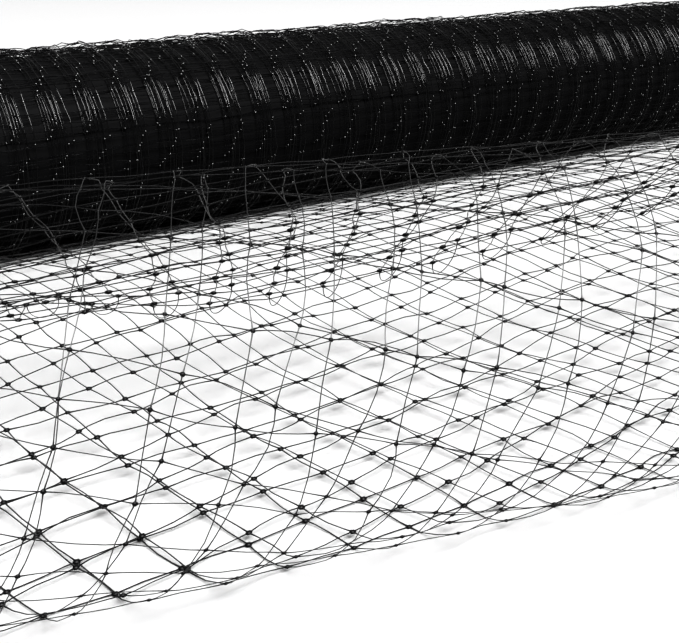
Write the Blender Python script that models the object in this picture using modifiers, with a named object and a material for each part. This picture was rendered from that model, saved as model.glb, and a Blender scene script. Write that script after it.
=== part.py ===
"""A roll of deer netting: a wound roll of doubled net and the loose end pulled out of it.

The roll lies along X on the floor. Its loose end leaves it underneath, runs out over the floor
towards -Y in shallow waves, curls up, and comes back over itself almost down to the floor.
All lengths are in metres. The origin is on the floor, at the centre of the whole.
"""

import math

import bmesh
import bpy

# The net
MESH_PITCH = 0.020            # from knot to knot, in both directions
GAP_COLUMNS = 24              # cut gaps along the roll
GAP_ROWS = 12                 # cut gaps from the free edge inwards
GAP_PITCH_X = 0.038           # a cut gap stands for two meshes by two
GAP_PITCH_Y = 2 * MESH_PITCH
BAR_WIDTH = 0.004             # the net left standing between two cut gaps
NET_THICKNESS = 0.0016        # the two plies lying together
ROLL_LENGTH = 0.914           # half the width of a 1.83 m net

# The wound roll
ROLL_RADIUS = 0.0490          # under the last turn
ROLL_AXIS_Y = 0.1944
ROLL_AXIS_Z = 0.0475          # a little under the radius, so the roll has a flat spot
LAST_TURN = 0.0014            # how far the last turn has grown when it ends
RIB_HEIGHT = 0.0007           # a raised band of knots around the roll
SAG = 0.0006                  # unevenness of the wound form
SAG_ALONG = (9.0, 13.0)       # how fast the unevenness changes along the roll, in radians a metre
RINGS_PER_RIB = 2
RIBS = 23
SIDES = 36
RIM_ANGLE = math.radians(50)  # edges sharper than this, such as the roll's rims, are shaded sharp
# The wound end face, from its middle to its rim: its turns stand out unevenly
WOUND_END = (                 # (share of the radius, how far it lies in)
    (0.16, 0.0030),
    (0.20, 0.0006),
    (0.50, 0.0014),
    (0.74, 0.0002),
    (0.95, 0.0000),
    (1.00, 0.0026),
)

# The loose end, as distances out from the roll's axis and heights of its underside
LEAVES_AT = 0.0250            # where it comes out from under the roll
LEAVES_HEIGHT = 0.0010
LEAVES_ANGLE = math.radians(60)  # how far below the level of the axis that is, on the roll
# Height of the run over the floor, by the share of the way from the roll to the curl
RUN_PROFILE = (               # (share, height)
    (0.00, LEAVES_HEIGHT),
    (0.12, 0.0120),
    (0.28, 0.0205),
    (0.45, 0.0175),
    (0.62, 0.0085),
    (0.78, 0.0040),
    (0.92, 0.0022),
    (1.00, 0.0000),
)
# The line on the floor from which the net curls up
CURL_LINE = (                 # (along the roll, out from the roll's axis)
    (-0.470, 0.2757),
    (-0.300, 0.3267),
    (-0.160, 0.3687),
    (-0.130, 0.3777),
    (-0.100, 0.3852),
    (-0.070, 0.3897),
    (-0.030, 0.3915),
    (0.120, 0.3880),
    (0.300, 0.3720),
    (0.470, 0.3520),
)
CURL_RADIUS = 0.0484
CURL_ROUND = 0.145            # the length that lies on the round part of the curl
CURL_OPENS_TO = 0.085         # radius of the part after it, which droops
CREST_RISE = 0.0043           # how far the stiff net stands up over the round part's top
CREST_AT = 0.157              # the length past the floor line at which the top lies
CREST_OVER = 0.050
TAIL_HEADS = math.radians(213)  # how far the net has turned where its straight tail begins
TAIL_OVER_RUN = 0.0065        # the tail stays this far over the underside of the run
TAIL_EASES = 0.006            # how gently the tail comes down to that
TAIL_EASES_OVER = 0.060
FREE_EDGE = 0.645             # how far out the net ends, measured along the flat net
FLOOR_FLAT = 0.0015           # how far the curl is pressed flat on the floor
WAVE_HEIGHT = 0.0022
WAVE_LENGTH = 0.230
WAVE_SLANT = 5.0              # how far a wave has moved on, in radians, on the way to the curl
FLATTENS_OVER = 0.050         # the last stretch of the run, which comes down onto the floor
FOOT_STEPS = 12               # steps of the search for the place on the floor line
FOOT_SHARE = 0.7              # how much of the way each of them goes
CURL_CUTS = 1                 # extra points along each mesh of the curl
STRIP_CUTS = 3                # extra points along the uncut strip next to the roll

NET_BLACK = (0.012, 0.012, 0.013, 1.0)


def clear_scene():
    """Remove every object that is in the scene."""
    for old in list(bpy.data.objects):
        bpy.data.objects.remove(old, do_unlink=True)


def net_plastic(name, roughness):
    """Black plastic thread, as a Principled material."""
    material = bpy.data.materials.new(name)
    material.use_nodes = True
    shader = material.node_tree.nodes["Principled BSDF"]
    shader.inputs["Base Color"].default_value = NET_BLACK
    shader.inputs["Roughness"].default_value = roughness
    shader.inputs["Metallic"].default_value = 0.0
    return material


def smooth_value(table, at):
    """The value at a place in a table of (place, value) rows, on a smooth curve through them."""
    last = len(table) - 1
    at = min(max(at, table[0][0]), table[last][0])
    k = max(i for i in range(last) if table[i][0] <= at)
    before, start, end, after = (table[min(max(k + i, 0), last)] for i in (-1, 0, 1, 2))
    span = end[0] - start[0]
    t = (at - start[0]) / span
    slope_in = (end[1] - before[1]) / (end[0] - before[0]) * span
    slope_out = (after[1] - start[1]) / (after[0] - start[0]) * span
    return (
        (2 * t**3 - 3 * t**2 + 1) * start[1]
        + (t**3 - 2 * t**2 + t) * slope_in
        + (3 * t**2 - 2 * t**3) * end[1]
        + (t**3 - t**2) * slope_out
    )


def curl_turn(x):
    """The angle between the curl's floor line and the roll, at a place along the roll."""
    step = 0.004
    rise = smooth_value(CURL_LINE, x + step) - smooth_value(CURL_LINE, x - step)
    return math.atan2(rise, 2 * step)


def curl_profile(d):
    """The place (out, up) on the curl's section, at a length d past the floor line."""
    angle = min(d, CURL_ROUND) / CURL_RADIUS
    out = CURL_RADIUS * math.sin(angle)
    up = CURL_RADIUS * (1 - math.cos(angle))
    if d > CURL_ROUND:
        heads = min(angle + (d - CURL_ROUND) / CURL_OPENS_TO, TAIL_HEADS)
        out += CURL_OPENS_TO * (math.sin(heads) - math.sin(angle))
        up += CURL_OPENS_TO * (math.cos(angle) - math.cos(heads))
        straight = d - CURL_ROUND - CURL_OPENS_TO * (heads - angle)
        out += straight * math.cos(heads)
        up += straight * math.sin(heads)
    up += CREST_RISE * math.exp(-(((d - CREST_AT) / CREST_OVER) ** 2))
    return out, max(up - FLOOR_FLAT, 0.0)


def run_height(x, out, line):
    """Height of the run over the floor, with its shallow waves."""
    share = (out - LEAVES_AT) / (line - LEAVES_AT)
    wave = math.sin(2 * math.pi * x / WAVE_LENGTH + WAVE_SLANT * share)
    swell = max(math.sin(math.pi * share), 0.0) ** 2
    flat = min(max((line - out) / FLATTENS_OVER, 0.0), 1.0)
    return smooth_value(RUN_PROFILE, share) * flat ** 0.5 + WAVE_HEIGHT * wave * swell


def over_run(x, out, up, share):
    """Height of the tail where it comes down onto the run: share is how far that counts."""
    lowest = run_height(x, out, smooth_value(CURL_LINE, x)) + TAIL_OVER_RUN
    eased = (up + lowest + math.hypot(up - lowest, TAIL_EASES)) / 2
    return up + (eased - up) * share


def net_point(x, out):
    """Where a point of the flat net lies: x along the roll, out from the roll's axis."""
    line = smooth_value(CURL_LINE, x)
    if out <= line:
        return x, ROLL_AXIS_Y - out, max(run_height(x, out, line), 0.0)
    foot = x
    for _ in range(FOOT_STEPS):
        turn = curl_turn(foot)
        past = max(out - smooth_value(CURL_LINE, foot), 0.0) / math.cos(turn)
        foot += FOOT_SHARE * (x + past * math.sin(turn) - foot)
    away, up = curl_profile(past)
    x = foot - away * math.sin(turn)
    out = smooth_value(CURL_LINE, foot) + away * math.cos(turn)
    share = min(max((past - CURL_ROUND) / TAIL_EASES_OVER, 0.0), 1.0)
    if share > 0.0:
        up = over_run(x, out, up, share)
    return x, ROLL_AXIS_Y - out, up


def make_object(bm, name, material, collection):
    """Turn a bmesh into an object with one material."""
    mesh = bpy.data.meshes.new(name)
    bm.to_mesh(mesh)
    bm.free()
    mesh.materials.append(material)
    made = bpy.data.objects.new(name, mesh)
    collection.objects.link(made)
    return made


def roll_radius(x, angle):
    """Radius of the wound roll: ribs of knots, some sag, and the last turn's growth.

    The angle starts where the loose end leaves the roll and grows the way it is wound.
    """
    rib = math.cos(2 * math.pi * (x / ROLL_LENGTH + 0.5) * RIBS)
    slow, fast = SAG_ALONG
    sag = math.sin(2 * angle + slow * x) * math.cos(fast * x + angle)
    grown = LAST_TURN * angle / (2 * math.pi)
    return ROLL_RADIUS + RIB_HEIGHT * rib + SAG * sag + grown


def wound_roll(material, collection):
    """The roll: rings of points, from the middle of one end face to the middle of the other."""
    stations = RIBS * RINGS_PER_RIB
    left = [(lies_in - ROLL_LENGTH / 2, share) for share, lies_in in WOUND_END]
    side = [(ROLL_LENGTH * (k / stations - 0.5), 1.0) for k in range(1, stations)]
    right = [(-place, share) for place, share in reversed(left)]
    places = left + side + right
    bm = bmesh.new()
    points = bmesh.ops.create_circle(bm, radius=1.0, segments=SIDES)["verts"]
    edges = list({e for v in points for e in v.link_edges})
    bmesh.ops.contextual_create(bm, geom=edges)
    rings = [points]
    while len(rings) < len(places):
        drawn = bmesh.ops.extrude_edge_only(bm, edges=edges)["geom"]
        edges = [g for g in drawn if isinstance(g, bmesh.types.BMEdge)]
        rings.append([g for g in drawn if isinstance(g, bmesh.types.BMVert)])
    bmesh.ops.contextual_create(bm, geom=edges)
    for (place, share), points in zip(places, rings, strict=True):
        for v in points:
            around = math.atan2(v.co.y, v.co.x)
            wound = (around + LEAVES_ANGLE) % (2 * math.pi)
            radius = roll_radius(place, wound) * share
            y = ROLL_AXIS_Y - radius * math.cos(around)
            z = ROLL_AXIS_Z + radius * math.sin(around)
            v.co = (place, y, max(z, 0.0))
    bmesh.ops.recalc_face_normals(bm, faces=bm.faces)
    roll = make_object(bm, "net_roll", material, collection)
    roll.data.shade_smooth()
    roll.data.set_sharp_from_angle(angle=RIM_ANGLE)
    return roll


def loose_end(material, collection):
    """The loose end: a flat net with its gaps, laid on its folds and given its thickness.

    On the flat net y is the distance in from the free edge. The uncut strip next to the roll
    runs from y = depth to y = depth + 1 there, and is drawn out to its length when it is laid.
    """
    bm = bmesh.new()
    bmesh.ops.create_grid(bm, x_segments=GAP_COLUMNS, y_segments=GAP_ROWS, size=0.5)
    width = GAP_COLUMNS * GAP_PITCH_X
    depth = GAP_ROWS * GAP_PITCH_Y
    innermost = FREE_EDGE - depth
    for v in bm.verts:
        v.co = (v.co.x * width, (v.co.y + 0.5) * depth, 0.0)
    bm.normal_update()
    bmesh.ops.inset_individual(bm, faces=list(bm.faces), thickness=BAR_WIDTH / 2)
    centres = [f for f in bm.faces if min(e.calc_length() for e in f.edges) > 2 * BAR_WIDTH]
    bmesh.ops.delete(bm, geom=centres, context="FACES")
    by_roll = depth - BAR_WIDTH / 4
    inner = [e for e in bm.edges if min(v.co.y for v in e.verts) > by_roll]
    strip = bmesh.ops.extrude_edge_only(bm, edges=inner)["geom"]
    for v in (g for g in strip if isinstance(g, bmesh.types.BMVert)):
        v.co.y = depth + 1.0
    lengthwise = [e for e in bm.edges if abs(e.verts[0].co.y - e.verts[1].co.y) > GAP_PITCH_Y / 2]
    curl = FREE_EDGE - CURL_LINE[0][1]
    in_curl = [e for e in lengthwise if min(v.co.y for v in e.verts) < curl]
    in_strip = [e for e in lengthwise if max(v.co.y for v in e.verts) > depth + BAR_WIDTH]
    bmesh.ops.subdivide_edges(bm, edges=in_curl, cuts=CURL_CUTS)
    bmesh.ops.subdivide_edges(bm, edges=in_strip, cuts=STRIP_CUTS)
    for v in bm.verts:
        out = FREE_EDGE - v.co.y
        if v.co.y > depth:
            out = innermost + (LEAVES_AT - innermost) * (v.co.y - depth)
        v.co = net_point(v.co.x, out)
    bmesh.ops.triangulate(bm, faces=bm.faces)
    bmesh.ops.recalc_face_normals(bm, faces=bm.faces)
    if sum(f.normal.z for f in bm.faces if f.calc_center_median().y > 0.0) > 0:
        bmesh.ops.reverse_faces(bm, faces=bm.faces)
    net = make_object(bm, "loose_end", material, collection)
    thicken = net.modifiers.new("Two plies", "SOLIDIFY")
    thicken.thickness = NET_THICKNESS
    thicken.offset = -1.0
    return net


clear_scene()
parts = bpy.data.collections.new("Roll of deer netting")
bpy.context.scene.collection.children.link(parts)
wound_roll(net_plastic("Wound netting", 0.45), parts)
loose_end(net_plastic("Loose netting", 0.40), parts)
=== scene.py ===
"""A roll of deer netting: the looks of the wound roll and of the loose end pulled out of it.

Everything is in metres, with the roll along X, the loose end towards -Y, and the floor at z = 0.
"""

import math

import bmesh
import bpy
import numpy as np
from mathutils import Matrix, Vector, noise


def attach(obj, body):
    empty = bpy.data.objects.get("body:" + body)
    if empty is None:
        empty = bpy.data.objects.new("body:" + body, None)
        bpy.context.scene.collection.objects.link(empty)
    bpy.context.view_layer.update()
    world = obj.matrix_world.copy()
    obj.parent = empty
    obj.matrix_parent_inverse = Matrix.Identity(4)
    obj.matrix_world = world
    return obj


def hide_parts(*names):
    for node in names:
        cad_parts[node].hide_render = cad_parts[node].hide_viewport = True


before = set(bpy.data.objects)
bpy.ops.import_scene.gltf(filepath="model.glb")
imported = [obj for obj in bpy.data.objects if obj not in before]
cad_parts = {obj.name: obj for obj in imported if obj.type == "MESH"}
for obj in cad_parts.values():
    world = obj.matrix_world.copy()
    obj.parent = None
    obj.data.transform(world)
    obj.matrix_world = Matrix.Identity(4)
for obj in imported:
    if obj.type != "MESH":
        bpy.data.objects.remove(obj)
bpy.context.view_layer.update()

# The floor and the light. A pale sweep of floor in a white room, one broad soft light over the
# front of the roll, which draws bright arcs on the threads that run round it, and a very broad
# dim one overhead and behind it, which the roll keeps off the floor at its foot.
EYE = (-0.463, -0.3637, 0.157)
LOOKS_DOWN = math.radians(18.4)
TURNED_TO_ROLL = math.radians(40.5)
LENS = 63.6
FILM_WIDTH = 36.0
FLOOR_SIZE = 14.0
FLOOR_PALE = (0.15, 0.15, 0.15, 1.0)  # lit so strongly that it shows as white
ROOM_WHITE = (1.0, 1.0, 1.0, 1.0)
ROOM_STRENGTH = 0.20
HORIZON_STRENGTH = 1.0        # the room is brighter down where its walls meet the floor
HORIZON_ENDS = (0.08, 0.30)   # sine of the height at which that starts to fade, and is gone
SOFT_LIGHT_FAR = 16.0         # so far off that it lights the floor evenly
SOFT_LIGHT_HIGH = math.radians(53)
SOFT_LIGHT_ASIDE = -0.12      # how far to the right it stands, as a share of how far off it is
SOFT_LIGHT_SIZE = (16.0, 9.0)
SOFT_LIGHT_POWER = 26000.0
TOP_LIGHT_PLACE = (0.0, 6.0, 13.0)
TOP_LIGHT_SIZE = (30.0, 14.0)
TOP_LIGHT_POWER = 2300.0
DARKER_MIDTONES = 0.74        # the photograph's strong contrast

scene = bpy.context.scene
scene.view_settings.view_transform = "Standard"
scene.view_settings.gamma = DARKER_MIDTONES

camera = bpy.data.objects.new("photo_camera", bpy.data.cameras.new("photo_camera"))
scene.collection.objects.link(camera)
camera.location = EYE
camera.rotation_euler = (math.pi / 2 - LOOKS_DOWN, 0.0, -TURNED_TO_ROLL)
camera.data.lens = LENS
camera.data.sensor_width = FILM_WIDTH
camera.data.clip_start = 0.01
scene.camera = camera

bpy.ops.mesh.primitive_plane_add(size=FLOOR_SIZE, location=(0.0, 0.0, 0.0))
floor = bpy.context.object
floor.name = "floor"
paint = bpy.data.materials.new("floor_pale")
paint.use_nodes = True
shader = paint.node_tree.nodes["Principled BSDF"]
shader.inputs["Base Color"].default_value = FLOOR_PALE
shader.inputs["Roughness"].default_value = 0.9
shader.inputs["Specular IOR Level"].default_value = 0.1
floor.data.materials.append(paint)

room = bpy.data.worlds.new("white_room")
scene.world = room
room.use_nodes = True
backdrop = room.node_tree.nodes["Background"]
backdrop.inputs["Color"].default_value = ROOM_WHITE
room_place = room.node_tree.nodes.new("ShaderNodeTexCoord")
room_height = room.node_tree.nodes.new("ShaderNodeSeparateXYZ")
wall_fade = room.node_tree.nodes.new("ShaderNodeMapRange")
fade_start, fade_end = HORIZON_ENDS
wall_fade.inputs["From Min"].default_value = fade_start
wall_fade.inputs["From Max"].default_value = fade_end
wall_fade.inputs["To Min"].default_value = HORIZON_STRENGTH
wall_fade.inputs["To Max"].default_value = ROOM_STRENGTH
room.node_tree.links.new(room_place.outputs["Generated"], room_height.inputs["Vector"])
room.node_tree.links.new(room_height.outputs["Z"], wall_fade.inputs["Value"])
room.node_tree.links.new(wall_fade.outputs["Result"], backdrop.inputs["Strength"])


def panel_light(name, size, power, place):
    """A large soft light that looks at the roll from where it stands."""
    panel = bpy.data.lights.new(name, "AREA")
    panel.shape = "RECTANGLE"
    panel.size, panel.size_y = size
    panel.energy = power
    lamp = bpy.data.objects.new(name, panel)
    scene.collection.objects.link(lamp)
    lamp.location = place
    lamp.rotation_euler = place.to_track_quat("Z", "Y").to_euler()


towards = (SOFT_LIGHT_ASIDE, -math.cos(SOFT_LIGHT_HIGH), math.sin(SOFT_LIGHT_HIGH))
soft_light_place = Vector(towards).normalized() * SOFT_LIGHT_FAR
panel_light("soft_light", SOFT_LIGHT_SIZE, SOFT_LIGHT_POWER, soft_light_place)
panel_light("top_light", TOP_LIGHT_SIZE, TOP_LIGHT_POWER, Vector(TOP_LIGHT_PLACE))

# The loose end. Doubled net of black plastic, drawn out of one sheet, so that the threads run into
# thick little knots. Both plies run out over the floor in shallow waves, curl up together and
# come back over themselves, down to the edge where the net is folded in two.
NET_WIDTH = 0.914
MESH_PITCH = 0.020
COLUMNS = 46
ROWS = 31
THREAD = 0.00037              # thickness
ROLL_AXIS_Y = 0.1944
LEAVES_AT = 0.0250            # out from the roll's axis, where the net comes out from under it
RUN_PROFILE = (               # (share of the way out, height over the floor)
    (0.00, 0.0010),
    (0.12, 0.0120),
    (0.28, 0.0205),
    (0.45, 0.0175),
    (0.62, 0.0085),
    (0.78, 0.0040),
    (0.92, 0.0022),
    (1.00, 0.0000),
)
RUN_LANDS_OVER = 0.05         # the last stretch, in which the run comes down flat on the floor
CURL_LINE = (                 # where the curl starts: (along the roll, out from its axis)
    (-0.470, 0.2757),
    (-0.300, 0.3267),
    (-0.160, 0.3687),
    (-0.130, 0.3777),
    (-0.100, 0.3852),
    (-0.070, 0.3897),
    (-0.030, 0.3915),
    (0.120, 0.3880),
    (0.300, 0.3720),
    (0.470, 0.3520),
)
CURL_RADIUS = 0.0484          # of the curl at first,
CURL_ROUND = 0.145            # for this much net,
CURL_OPENS_TO = 0.085         # and then this
CREST_RISE = 0.0043           # how much higher the curl's crest stands than those two give,
CREST_AT = 0.157              # at this much net from where the curl starts
CREST_OVER = 0.050
TAIL_HEADS = math.radians(213)  # the tail comes down straight, at this much past level
TAIL_OVER_RUN = 0.0065        # the tail's lowest part over the run
TAIL_EASES = 0.006            # how softly the tail meets that height
TAIL_EASES_OVER = 0.060
FREE_EDGE = 0.645             # the folded edge, out from the roll's axis on the flat net
FLOOR_FLAT = 0.0015           # how much of the curl's foot lies flat on the floor
WAVE_HEIGHT = 0.0022
WAVE_LENGTH = 0.230
# How each ply lies: its columns shifted along the roll, its last row in from the folded edge, its
# rows turned and its columns leaning on the run, how far its rows have slid round the near side of
# the curl and its columns along it, and its height over the underside of the net
PLIES = {
    "lower_ply": dict(
        shift=0.0, last_row=0.014, turned=0.010, lean=0.00, rows_slid=0.0078, slid_at=0.12,
        columns_slid=0.004, lifted=0.0004, seed=3.0,
    ),
    "upper_ply": dict(
        shift=0.5, last_row=0.004, turned=-0.135, lean=0.10, rows_slid=0.0030, slid_at=0.36,
        columns_slid=0.005, lifted=0.0013, seed=41.0,
    ),
}
COLUMNS_SLID_OVER = 0.16
ROWS_SLID_OVER = 0.20         # the rows slide more and more from the folded edge to here,
ROWS_SLID_TO = 0.22           # and less and less from here on,
ROWS_SLID_FADE = 0.16         # over this much net
LEANS_FROM = 0.2              # out from the roll's axis, where the leaning columns are in place
TAIL_SHEARED = 0.020          # the tail's columns have slid one mesh along the roll, from
TAIL_SHEARED_TO = 0.150       # this far in from the folded edge
TAIL_SHEARED_OVER = 0.085
FANNED = 0.078                # further right, where the curl straightens, they spread this far more
FANNED_FROM = -0.25
FANNED_OVER = (0.10, 0.15)    # along the roll, and in from the folded edge
PHOTO_SIDE_X = -0.27          # the middle of the stretch of the curl that the picture shows
TURNS_OVER = 0.20             # the last stretch, in which the rows come round to the folded edge
PUCKER = 0.0014               # how far a knot lies from its place in an even net,
PUCKER_WIDE = 0.09            # together with its neighbours over this size,
PUCKER_FINE = 0.012           # and by itself over this one
BOW = 0.9                     # how far a thread bows between its knots, as a share of that,
BOW_SIZE = 0.007
ROUGHNESS_HEIGHT = 0.0006     # how far a thread lies over or under its ply,
PLY_GAP = 0.0016              # and the upper ply over the lower one,
PLY_GAP_SIZE = 0.05
TAIL_APART = 0.0045           # how much further apart the plies are in the tail,
TAIL_APART_FROM = 0.54        # from here on, out from the roll's axis on the flat net
TAIL_APART_OVER = 0.09
KNOT_HALF = (0.00120, 0.00100, 0.00062)
KNOTS_UNEVEN = 0.25           # how much larger or smaller a knot is than the others
FOLD_KNOTS_LARGER = 0.3       # how much larger the knots by the folded edge are,
FOLD_KNOTS_TO = 0.11          # up to this far in from it
FOLD_KNOTS_OVER = 0.07
FLARE = 1.1                   # how much thicker a thread is at its knot,
FLARE_OVER = 0.055            # over this share of its length
THREAD_STEPS = (0.0, 0.06, 0.20, 0.50, 0.80, 0.94)  # its points, as shares of its length
STRETCHED = 0.42              # how much thinner it is where the curl stretches it,
STRETCHED_OVER = 0.04         # from this much net past the start of the curl
EASES_AT = 0.17               # to this much, where most of that is gone again
EASES_OVER = 0.08
LIFTED_OFF_FLOOR = 0.6        # the lowest a thread's middle lies, as a share of its thickness
NEXT_TO = 0.002               # how far off the point lies that gives a direction on the net
NET_BLACK = (0.0005, 0.0005, 0.0006, 1.0)
BLOTCHES_PER_METRE = 900.0    # how fine the unevenness in the plastic's gloss is
BLOTCH_HEIGHT = 0.0001


def smooth_value(table, at):
    """The value at a place in a table of (place, value) rows, on a smooth curve through them."""
    last = len(table) - 1
    at = min(max(at, table[0][0]), table[last][0])
    k = max(i for i in range(last) if table[i][0] <= at)
    before, start, end, after = (table[min(max(k + i, 0), last)] for i in (-1, 0, 1, 2))
    span = end[0] - start[0]
    t = (at - start[0]) / span
    slope_in = (end[1] - before[1]) / (end[0] - before[0]) * span
    slope_out = (after[1] - start[1]) / (after[0] - start[0]) * span
    return (
        (2 * t**3 - 3 * t**2 + 1) * start[1]
        + (t**3 - 2 * t**2 + t) * slope_in
        + (3 * t**2 - 2 * t**3) * end[1]
        + (t**3 - t**2) * slope_out
    )


def ease(t):
    """A smooth step from 0 to 1."""
    t = min(max(t, 0.0), 1.0)
    return t * t * (3 - 2 * t)


def curl_turn(x):
    """The angle between the curl's floor line and the roll, at a place along the roll."""
    step = 0.004
    rise = smooth_value(CURL_LINE, x + step) - smooth_value(CURL_LINE, x - step)
    return math.atan2(rise, 2 * step)


def curl_profile(d):
    """The place (out, up) on the curl's section, at a length d past the floor line."""
    angle = min(d, CURL_ROUND) / CURL_RADIUS
    out = CURL_RADIUS * math.sin(angle)
    up = CURL_RADIUS * (1 - math.cos(angle))
    if d > CURL_ROUND:
        heads = min(angle + (d - CURL_ROUND) / CURL_OPENS_TO, TAIL_HEADS)
        out += CURL_OPENS_TO * (math.sin(heads) - math.sin(angle))
        up += CURL_OPENS_TO * (math.cos(angle) - math.cos(heads))
        straight = d - CURL_ROUND - CURL_OPENS_TO * (heads - angle)
        out += straight * math.cos(heads)
        up += straight * math.sin(heads)
    up += CREST_RISE * math.exp(-(((d - CREST_AT) / CREST_OVER) ** 2))
    return out, max(up - FLOOR_FLAT, 0.0)


def run_height(x, out, line):
    """Height of the run over the floor, with its shallow waves."""
    share = (out - LEAVES_AT) / (line - LEAVES_AT)
    wave = math.sin(2 * math.pi * x / WAVE_LENGTH + 5.0 * share)
    swell = max(math.sin(math.pi * share), 0.0) ** 2
    landed = min(max((line - out) / RUN_LANDS_OVER, 0.0), 1.0)
    return smooth_value(RUN_PROFILE, share) * landed**0.5 + WAVE_HEIGHT * wave * swell


def net_point(x, out):
    """Where the underside of a point of the flat net lies: x along the roll, out from its axis."""
    line = smooth_value(CURL_LINE, x)
    if out <= line:
        return Vector((x, ROLL_AXIS_Y - out, max(run_height(x, out, line), 0.0)))
    # The place on the line where the curl starts from which the net comes square to that line
    foot = x
    for _ in range(6):
        turn = curl_turn(foot)
        past = max(out - smooth_value(CURL_LINE, foot), 0.0) / math.cos(turn)
        foot += 0.7 * (x + past * math.sin(turn) - foot)
    away, up = curl_profile(past)
    x = foot - away * math.sin(turn)
    out = smooth_value(CURL_LINE, foot) + away * math.cos(turn)
    share = min(max((past - CURL_ROUND) / TAIL_EASES_OVER, 0.0), 1.0)
    if share > 0.0:
        lowest = run_height(x, out, smooth_value(CURL_LINE, x)) + TAIL_OVER_RUN
        eased = (up + lowest + math.hypot(up - lowest, TAIL_EASES)) / 2
        up += (eased - up) * share
    return Vector((x, ROLL_AXIS_Y - out, up))


def over_net(x, out, lifted):
    """The point at a height over the underside of the flat net's point (x, out)."""
    here = net_point(x, out)
    along = net_point(x + NEXT_TO, out) - here
    outward = net_point(x, out + NEXT_TO) - here
    point = here + outward.cross(along).normalized() * lifted
    point.z = max(point.z, THREAD * LIFTED_OFF_FLOOR)
    return point


def drift(x, y, seed, size):
    """Two smooth uneven values between about -1 and 1, which vary over that size."""
    place = Vector((x / size, y / size, seed))
    return noise.noise(place) * 2.0, noise.noise(place + Vector((7.3, 3.1, 5.7))) * 2.0


def flat_knot(ply, column, row):
    """Where a knot lies on the flat net, (x, out). Rows are counted from the folded edge."""
    at_side = column in (0, COLUMNS)
    x = NET_WIDTH * ((column + (0.0 if at_side else ply["shift"])) / COLUMNS - 0.5)
    back = ply["last_row"] + row * MESH_PITCH
    on_run = 1.0 - ease(1.0 - back / TURNS_OVER)
    out = FREE_EDGE - back + ply["turned"] * (x - PHOTO_SIDE_X) * on_run
    if at_side:
        return x, out
    inside = 1.0 - (2 * x / NET_WIDTH) ** 4
    x += ply["lean"] * (out - LEANS_FROM) * on_run * inside
    x += ply["columns_slid"] * ease((ply["slid_at"] - back) / COLUMNS_SLID_OVER) * inside
    fanned = FANNED * ease((x - FANNED_FROM) / FANNED_OVER[0])
    x += fanned * ease(1.0 - back / FANNED_OVER[1]) * inside
    x += TAIL_SHEARED * ease((TAIL_SHEARED_TO - back) / TAIL_SHEARED_OVER) * inside
    slides_back = 1.0 - ease((back - ROWS_SLID_TO) / ROWS_SLID_FADE)
    out -= ply["rows_slid"] * ease(back / ROWS_SLID_OVER) * slides_back
    wide = drift(x, out, ply["seed"], PUCKER_WIDE)
    fine = drift(x, out, ply["seed"] + 20.0, PUCKER_FINE)
    x += PUCKER * (1.3 * wide[0] + 0.8 * fine[0])
    out += PUCKER * (1.3 * wide[1] + 0.8 * fine[1]) * (0.5 if row == 0 else 1.0)
    return x, out


def lay(ply, x, out):
    """The middle of a thread of this ply over the flat net's point (x, out)."""
    apart = noise.noise(Vector((x / PLY_GAP_SIZE, out / PLY_GAP_SIZE, ply["seed"] + 9.0)))
    fine = noise.noise(Vector((x / PUCKER_FINE, out / PUCKER_FINE, ply["seed"] + 15.0)))
    lifted = ply["lifted"] + ROUGHNESS_HEIGHT * fine
    if ply is PLIES["upper_ply"]:
        lifted += PLY_GAP * (0.5 + apart)
        return over_net(x, out, max(lifted, THREAD / 2))
    in_tail = ease((out - TAIL_APART_FROM) / TAIL_APART_OVER) * (0.7 + 0.6 * apart)
    return over_net(x, out, max(lifted, THREAD / 2) - TAIL_APART * in_tail)


def thread_width(t):
    """The thread's width between two knots, as a share: it thickens into each of them."""
    near = min(t, 1.0 - t)
    return 1.0 + FLARE * math.exp(-((near / FLARE_OVER) ** 2))


def stretched(x, out):
    """The share that the curl leaves of a thread's width and a knot's size."""
    past = out - smooth_value(CURL_LINE, x)
    kept = 1.0 - 0.8 * ease((past - EASES_AT) / EASES_OVER)
    return 1.0 - STRETCHED * ease(past / STRETCHED_OVER) * kept


def between(ply, start, end):
    """The points (place, width) of a thread from one knot towards the next, without the last."""
    (x0, out0), (x1, out1) = start, end
    bow = drift((x0 + x1) / 2, (out0 + out1) / 2, ply["seed"] + 33.0, BOW_SIZE)
    made = []
    for t in THREAD_STEPS:
        belly = math.sin(math.pi * t) * PUCKER * BOW
        x = x0 + (x1 - x0) * t + belly * bow[0]
        out = out0 + (out1 - out0) * t + belly * bow[1]
        made.append((lay(ply, x, out), thread_width(t) * stretched(x, out)))
    return made


def thread_curves(name, threads, thickness, material, closed=False):
    """A curve object of round threads. A thread is a list of (place, width) points."""
    curve = bpy.data.curves.new(name, "CURVE")
    curve.dimensions = "3D"
    curve.bevel_depth = thickness / 2
    curve.bevel_resolution = 0
    curve.use_fill_caps = True
    for thread in threads:
        line = curve.splines.new("POLY")
        line.points.add(len(thread) - 1)
        line.points.foreach_set("co", [c for place, _ in thread for c in (*place, 1.0)])
        line.points.foreach_set("radius", [width for _, width in thread])
        line.use_cyclic_u = closed
        line.use_smooth = True
    curve.materials.append(material)
    made = bpy.data.objects.new(name, curve)
    scene.collection.objects.link(made)
    return made


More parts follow.
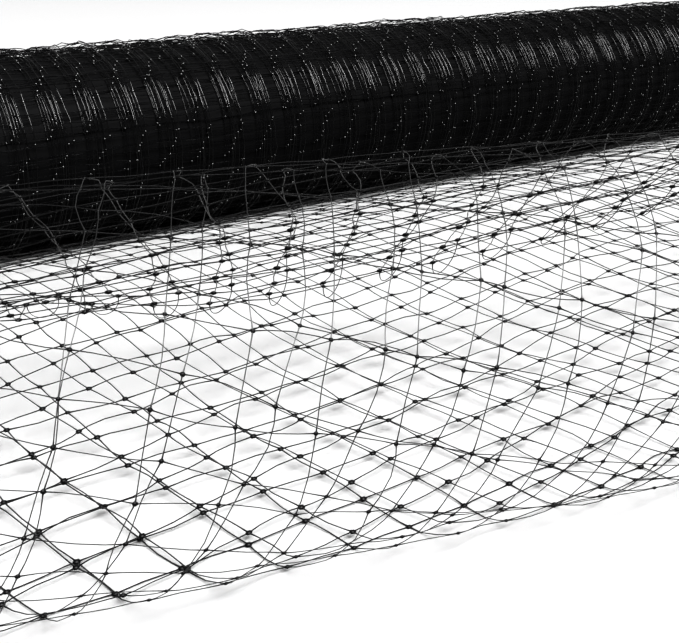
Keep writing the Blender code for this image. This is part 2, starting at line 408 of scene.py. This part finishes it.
def knots(name, places, half, detail, material):
    """One mesh of all the knots: small flattened balls. A place is a 3 by 3 frame and a point."""
    ball = bpy.data.meshes.new("ball")
    bm = bmesh.new()
    if detail:
        bmesh.ops.create_icosphere(bm, subdivisions=detail, radius=1.0)
    else:
        bmesh.ops.create_uvsphere(bm, u_segments=4, v_segments=2, radius=1.0)
    bm.to_mesh(ball)
    bm.free()
    shape = np.array([v.co[:] for v in ball.vertices]) * np.array(half)
    faces = np.array([p.vertices[:] for p in ball.polygons])
    bpy.data.meshes.remove(ball)
    turned = np.array([np.array(frame_) for frame_, _ in places])
    centres = np.array([tuple(point) for _, point in places])
    points = np.einsum("nij,vj->nvi", turned, shape) + centres[:, None]
    index = faces[None] + (np.arange(len(places)) * len(shape))[:, None, None]
    mesh = bpy.data.meshes.new(name)
    mesh.from_pydata(points.reshape(-1, 3).tolist(), [], index.reshape(-1, 3).tolist())
    mesh.shade_smooth()
    mesh.materials.append(material)
    made = bpy.data.objects.new(name, mesh)
    scene.collection.objects.link(made)
    return made


def net_plastic(name, roughness, gloss_level, sheen_bump):
    """Black plastic thread: glossy, a little uneven in gloss and drawn lengthwise."""
    material = bpy.data.materials.new(name)
    material.use_nodes = True
    nodes, links = material.node_tree.nodes, material.node_tree.links
    shader = nodes["Principled BSDF"]
    shader.inputs["Base Color"].default_value = NET_BLACK
    shader.inputs["IOR"].default_value = gloss_level
    place = nodes.new("ShaderNodeTexCoord")
    blotch = nodes.new("ShaderNodeTexNoise")
    blotch.inputs["Scale"].default_value = BLOTCHES_PER_METRE
    blotch.inputs["Detail"].default_value = 2.0
    links.new(place.outputs["Object"], blotch.inputs["Vector"])
    gloss = nodes.new("ShaderNodeMapRange")
    gloss.inputs["To Min"].default_value = roughness - 0.08
    gloss.inputs["To Max"].default_value = roughness + 0.12
    links.new(blotch.outputs["Fac"], gloss.inputs["Value"])
    links.new(gloss.outputs["Result"], shader.inputs["Roughness"])
    bump = nodes.new("ShaderNodeBump")
    bump.inputs["Strength"].default_value = sheen_bump
    bump.inputs["Distance"].default_value = BLOTCH_HEIGHT
    links.new(blotch.outputs["Fac"], bump.inputs["Height"])
    links.new(bump.outputs["Normal"], shader.inputs["Normal"])
    return material


loose_plastic = net_plastic("loose_net_thread", 0.40, 1.20, 0.15)
column_plastic = net_plastic("loose_net_column", 0.32, 1.50, 0.15)


def ply_of_net(name, ply):
    """One ply of the loose end: its threads as curves, and its knots as one mesh."""
    flat = {(c, r): flat_knot(ply, c, r) for c in range(COLUMNS + 1) for r in range(ROWS + 1)}
    out_of_roll = {k for k, (x, out) in flat.items() if out > LEAVES_AT}
    columns, rows_across = [], []
    for column in range(COLUMNS + 1):
        thread = []
        rows = [r for r in range(ROWS + 1) if (column, r) in out_of_roll]
        for r in rows[:-1]:
            thread += between(ply, flat[column, r], flat[column, r + 1])
        x, out = flat[column, rows[-1]]
        thread += between(ply, (x, out), (x, LEAVES_AT))
        thread.append((lay(ply, x, LEAVES_AT), 1.0))
        columns.append(thread)
    for row in range(ROWS + 1):
        thread = []
        for column in range(COLUMNS):
            here, there = (column, row), (column + 1, row)
            if here in out_of_roll and there in out_of_roll:
                thread += between(ply, flat[here], flat[there])
            elif thread:
                thread.append((lay(ply, *flat[here]), 1.0))
                rows_across.append(thread)
                thread = []
        if thread:
            thread.append((lay(ply, *flat[COLUMNS, row]), 1.0))
            rows_across.append(thread)
    pieces = [
        thread_curves(name + "_columns", columns, THREAD, column_plastic),
        thread_curves(name + "_rows", rows_across, THREAD, loose_plastic),
    ]
    places = []
    for (column, row), (x, out) in flat.items():
        if (column, row) not in out_of_roll:
            continue
        here = lay(ply, x, out)
        along = (lay(ply, x + NEXT_TO, out) - here).normalized()
        over = along.cross(lay(ply, x, out + NEXT_TO) - here).normalized()
        axes = Matrix((along, over.cross(along), over)).transposed()
        uneven = noise.noise(Vector((column * 0.7, row * 0.7, ply["seed"])))
        size = 1.0 + KNOTS_UNEVEN * uneven
        by_fold = ease((FOLD_KNOTS_TO - (FREE_EDGE - out)) / FOLD_KNOTS_OVER)
        at_fold = 1.0 + FOLD_KNOTS_LARGER * by_fold
        places.append((axes * size * at_fold * stretched(x, out), here))
    pieces.append(knots(name + "_knots", places, KNOT_HALF, 1, loose_plastic))
    for piece in pieces:
        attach(piece, "root")
        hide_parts("loose_end")


for ply_name, facts in PLIES.items():
    ply_of_net(ply_name, facts)

# The folded edge. The net is doubled over here, so each column of one ply turns round in a slack
# loop of one mesh and goes on as the next column of the other ply.
LOOP_DROP = 0.0035            # how far a loop goes on past the edge,
LOOP_SAG = 0.0068             # and how far it hangs down there
LOOP_SLIM = 0.72              # its thickness, as a share of the other threads'
LOOP_POINTS = 15
LOOPS_UNEVEN = 0.5
SHALLOWER = 0.6               # how much shallower the loops are to the right of PHOTO_SIDE_X,
SHALLOWER_OVER = 0.06         # where they get so over this stretch
EDGE_STEP = 0.01
loops = []
for column in range(1, COLUMNS - 1):
    upper, lower = PLIES["upper_ply"], PLIES["lower_ply"]
    ends = [(upper, flat_knot(upper, column, 0)), (lower, flat_knot(lower, column + 1, 0))]
    first, last = (lay(ply, x, out) for ply, (x, out) in ends)
    (x0, out0), (x1, out1) = (place for _, place in ends)
    middle = (x0 + x1) / 2
    past_edge = (net_point(middle, out0) - net_point(middle, out0 - EDGE_STEP)).normalized()
    deep = 1.0 + LOOPS_UNEVEN * noise.noise(Vector((column * 0.61, 4.0, 9.0)))
    deep *= 1.0 - SHALLOWER * ease((x0 - PHOTO_SIDE_X) / SHALLOWER_OVER)
    loop = []
    for k in range(LOOP_POINTS):
        t = k / (LOOP_POINTS - 1)
        share = 0.5 - 0.5 * math.cos(math.pi * t)
        hangs = math.sin(math.pi * t) ** 0.75 * deep
        place = first.lerp(last, share) + past_edge * LOOP_DROP * hangs
        place.z = max(place.z - LOOP_SAG * hangs, THREAD * LIFTED_OFF_FLOOR)
        loop.append((place, LOOP_SLIM * thread_width(t)))
    loops.append(loop)
folded = thread_curves("folded_edge_loops", loops, THREAD, loose_plastic)
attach(folded, "root")
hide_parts("loose_end")

# The wound roll. The same doubled plastic net, wound up in many turns. The threads that run round
# it lie in bands, one for each column of the mesh, and the threads along it fill the space
# between them. Knots join the two, and the outermost layers lie slack over the top of the roll.
ROLL_LENGTH = 0.914
ROLL_RADIUS = 0.0490
ROLL_AXIS_Z = 0.0475
LAST_TURN = 0.0014            # how much the radius grows round the last turn
RIB_HEIGHT = 0.0003
RIBS = 46
SAG = 0.0003                  # how far the roll is out of round
LEAVES_ANGLE = math.radians(60)
WOUND_LAYERS = 10
LAYER_STEP = 0.00024
TOP_LAYER = 0.0005            # how far the outermost layer stands over the solid roll
BAND_WIDTH = 0.0125           # the threads round the roll spread over this at each column
BAND_JITTER = 0.0010
WOUND_PUCKER = 0.0007         # how far a knot lies from its place in an even net,
WOUND_PUCKER_WIDE = 0.08      # together with its neighbours over this size,
WOUND_PUCKER_FINE = 0.011     # and by itself over this one
AROUND_CELL = 4               # points of a ring from knot to knot
ALONG_CELL = 6                # points of a slack thread along the roll from knot to knot
KNOT_SWELL = 0.5              # how much thicker a thread is at its knot
SLACK = 0.0013                # how far a slack thread of the outermost layers stands out
SLACK_SPAN = 0.005
SLACK_LAYERS = 3
LOOSE_TOP = 0.0013            # how far those layers stand off the others over the top of the roll
LOOSE_AT = math.radians(104)
LOOSE_OVER = math.radians(26)
LOOSE_SIZE = 0.045            # how far along the roll it stays much the same
UNEVEN = 0.00034              # how far each thread bends out or in between its knots
WOUND_KNOT_HALF = (0.00105, 0.00090, 0.00060)


def roll_radius(x, angle):
    """Radius of the wound roll, with a low rib at each column, its sag and its last turn."""
    rib = math.cos(2 * math.pi * (x / ROLL_LENGTH + 0.5) * RIBS)
    sag = math.sin(2 * angle + 9.0 * x) * math.cos(13.0 * x + angle)
    grown = LAST_TURN * angle / (2 * math.pi)
    return ROLL_RADIUS + RIB_HEIGHT * rib + SAG * sag + grown


def on_roll(x, around, under):
    """A point of the roll, at a depth under its surface. around is 0 at -Y and a quarter on top."""
    radius = roll_radius(x, (around + LEAVES_ANGLE) % (2 * math.pi)) - under
    y = ROLL_AXIS_Y - radius * math.cos(around)
    z = ROLL_AXIS_Z + radius * math.sin(around)
    return Vector((x, y, max(z, THREAD * LIFTED_OFF_FLOOR + max(under, 0.0) * 0.5)))


def stands_off(x, around):
    """How far the outermost layers stand off the others, over the top of the roll."""
    past = around % (2 * math.pi) - LOOSE_AT
    uneven = 0.8 + 1.2 * noise.noise(Vector((x / LOOSE_SIZE, 3.3, 8.1)))
    return LOOSE_TOP * max(uneven, 0.2) * math.exp(-((past / LOOSE_OVER) ** 2))


round_plastic = net_plastic("thread_round_the_roll", 0.12, 1.37, 0.30)
dull_plastic = net_plastic("thread_under_the_outer_turns", 0.18, 1.27, 0.30)
along_plastic = net_plastic("thread_along_the_roll", 0.26, 1.17, 0.15)
knot_plastic = net_plastic("wound_knot", 0.14, 1.52, 0.05)
chance = np.random.default_rng(7)


def wound_layer(layer):
    """One layer of the wound net: threads round the roll, threads along it, and their knots."""
    under = layer * LAYER_STEP - TOP_LAYER
    rows = int(round(2 * math.pi * ROLL_RADIUS / MESH_PITCH))
    turns = 2 * math.pi / rows
    in_order = layer * 3 % WOUND_LAYERS / WOUND_LAYERS
    phase = turns * (in_order + chance.uniform(-0.03, 0.03))
    shift = BAND_WIDTH * ((in_order + 0.37) % 1.0 - 0.5)
    skew = chance.normal(0, 0.012)
    lean = chance.normal(0, 0.02)

    def knot_at(column, row):
        """Where a knot lies: (along the roll, angle round it)."""
        around = phase + turns * row + lean * math.sin(3 * column / COLUMNS + layer)
        x = NET_WIDTH * (column / COLUMNS - 0.5) + shift + skew * ROLL_RADIUS * math.sin(around)
        x += BAND_JITTER * 2.0 * noise.noise(Vector((column * 0.77, layer * 3.7, 0.5)))
        wide = drift(x, row * MESH_PITCH, 60.0 + layer, WOUND_PUCKER_WIDE)
        fine = drift(x, row * MESH_PITCH, 80.0 + layer, WOUND_PUCKER_FINE)
        x += WOUND_PUCKER * (wide[0] + fine[0])
        x = min(max(x, -NET_WIDTH / 2), NET_WIDTH / 2)
        return x, around + WOUND_PUCKER * (wide[1] + fine[1]) / ROLL_RADIUS

    def standing_out(column, row, way, t, x, around):
        """How far a thread stands out of its layer, at a share t of the way to its next knot."""
        ends = min(4 * t, 4 * (1 - t), 1.0)
        cell = Vector((column * 1.37, row * 1.73, 5.0 * way + 1.9 * layer))
        bent = noise.noise(cell) * math.sin(math.pi * t)
        bent += 0.6 * noise.noise(cell + Vector((3.1, 7.7, 0.4))) * math.sin(2 * math.pi * t)
        out = UNEVEN * 2.0 * bent
        if layer < SLACK_LAYERS:
            along = t * MESH_PITCH / SLACK_SPAN
            slack = noise.noise(cell * 7.7 + Vector((along, 0.6 * along, 6.1)))
            out += SLACK * 2.0 * max(slack - 0.05, 0.0) * ends
            out += stands_off(x, around)
        return out

    flat = {(c, r): knot_at(c, r) for c in range(COLUMNS + 1) for r in range(rows)}
    rings, lengths, places = [], [], []
    for column in range(COLUMNS + 1):
        ring = []
        for row in range(rows):
            x0, a0 = flat[column, row]
            x1, a1 = flat[column, (row + 1) % rows]
            a1 += 2 * math.pi * (row + 1 == rows)
            for k in range(AROUND_CELL):
                t = k / AROUND_CELL
                x, a = x0 + (x1 - x0) * t, a0 + (a1 - a0) * t
                rise = standing_out(column, row, 0, t, x, a)
                ring.append((on_roll(x, a, under - rise), 1.0 + KNOT_SWELL * (k == 0)))
        rings.append(ring)
    slack_steps = [k / ALONG_CELL for k in range(ALONG_CELL)]
    steps = slack_steps if layer < SLACK_LAYERS else (0.0, 0.5)
    for row in range(rows):
        thread = []
        for column in range(COLUMNS):
            x0, a0 = flat[column, row]
            x1, a1 = flat[column + 1, row]
            for t in steps:
                x, a = x0 + (x1 - x0) * t, a0 + (a1 - a0) * t
                bowed = math.sin(math.pi * t) * WOUND_PUCKER * math.sin(3.0 * row + column)
                a += bowed / ROLL_RADIUS
                rise = standing_out(column, row, 1, t, x, a)
                thread.append((on_roll(x, a, under - rise), 1.0 + KNOT_SWELL * (t == 0.0)))
        x, a = flat[COLUMNS, row]
        rise = standing_out(COLUMNS, row, 1, 0.0, x, a)
        thread.append((on_roll(x, a, under - rise), 1.0))
        lengths.append(thread)
    for (column, row), (x, a) in flat.items():
        outward = Vector((0.0, -math.cos(a), math.sin(a)))
        along = Vector((1.0, 0.0, 0.0))
        axes = Matrix((along, outward.cross(along), outward)).transposed()
        places.append((axes, on_roll(x, a, under - standing_out(column, row, 0, 0.0, x, a))))
    return rings, lengths, places


LAYERS_A_PIECE = 5
for group in range(WOUND_LAYERS // LAYERS_A_PIECE):
    rings, lengths, places = [], [], []
    for layer in range(LAYERS_A_PIECE * group, LAYERS_A_PIECE * (group + 1)):
        more = wound_layer(layer)
        rings += more[0]
        lengths += more[1]
        places += more[2]
    round_material = dull_plastic if group else round_plastic
    made = [
        thread_curves(f"turns_{group}_round", rings, THREAD, round_material, closed=True),
        thread_curves(f"turns_{group}_along", lengths, THREAD, along_plastic),
        knots(f"turns_{group}_knots", places, WOUND_KNOT_HALF, 0, knot_plastic),
    ]
    for piece in made:
        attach(piece, "root")
        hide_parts("net_roll")

# The ends of the roll. The edges of all the turns show there, one spiral for each ply, from the
# tight middle out to the last turn, a little uneven in how far each turn stands out.
END_TURNS = 32
END_STEPS = 36                # points of a turn
END_INSIDE = 0.006            # radius of the first turn
END_UNEVEN = 0.0022           # how far in the turns lie, over several of them,
END_FINE = 0.0008             # and each by itself
END_SWELL = 0.4
for side, side_name in ((-1.0, "left"), (1.0, "right")):
    spirals = []
    for ply_number in range(2):
        spiral = []
        for k in range(END_TURNS * END_STEPS + 1):
            a = 2 * math.pi * (k / END_STEPS + 0.5 * ply_number)
            grown = END_INSIDE + (ROLL_RADIUS - END_INSIDE) * k / (END_TURNS * END_STEPS)
            place = on_roll(side * ROLL_LENGTH / 2, a, ROLL_RADIUS - grown)
            uneven = noise.noise(Vector((a / 2.1, grown * 400, 3.0 * side + ply_number)))
            fine = noise.noise(Vector((a * 2.4, grown * 900, 7.0 * side + ply_number)))
            place.x = side * (ROLL_LENGTH / 2 - END_UNEVEN * (0.5 + uneven) - END_FINE * fine)
            spiral.append((place, 1.0 + END_SWELL * (k % 3 == 0)))
        spirals.append(spiral)
    end = thread_curves(f"{side_name}_end_turns", spirals, THREAD, round_plastic)
    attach(end, "root")
    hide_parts("net_roll")

# The turns under the outer layers. The net is wound so tight there that nothing shows through it
# but black, so one closed form stands for them all, just under the outermost ten layers.
CORE_UNDER = 0.0025
CORE_LENGTH = 0.995           # as a share of the roll's
CORE_STATIONS = 92
CORE_SIDES = 48


def wound_core():
    """A closed dark form just under the outer layers, ring by ring along the roll."""
    points, faces = [], []
    for station in range(CORE_STATIONS + 1):
        x = ROLL_LENGTH * (station / CORE_STATIONS - 0.5) * CORE_LENGTH
        for k in range(CORE_SIDES):
            points.append(on_roll(x, 2 * math.pi * k / CORE_SIDES, CORE_UNDER))
    for start in range(0, CORE_STATIONS * CORE_SIDES, CORE_SIDES):
        for k in range(CORE_SIDES):
            here, beside = start + k, start + (k + 1) % CORE_SIDES
            faces.append((beside, here, here + CORE_SIDES, beside + CORE_SIDES))
    left_end = range(CORE_SIDES)
    faces += [left_end, [k + CORE_STATIONS * CORE_SIDES for k in reversed(left_end)]]
    mesh = bpy.data.meshes.new("inner_turns")
    mesh.from_pydata(points, [], faces)
    mesh.shade_smooth()
    made = bpy.data.objects.new("inner_turns", mesh)
    scene.collection.objects.link(made)
    return made


inner_turns = wound_core()
dark = bpy.data.materials.new("inner_turns_black")
dark.use_nodes = True
shader = dark.node_tree.nodes["Principled BSDF"]
shader.inputs["Base Color"].default_value = NET_BLACK
shader.inputs["Roughness"].default_value = 0.7
shader.inputs["Specular IOR Level"].default_value = 0.05
inner_turns.data.materials.append(dark)
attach(inner_turns, "root")
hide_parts("net_roll")
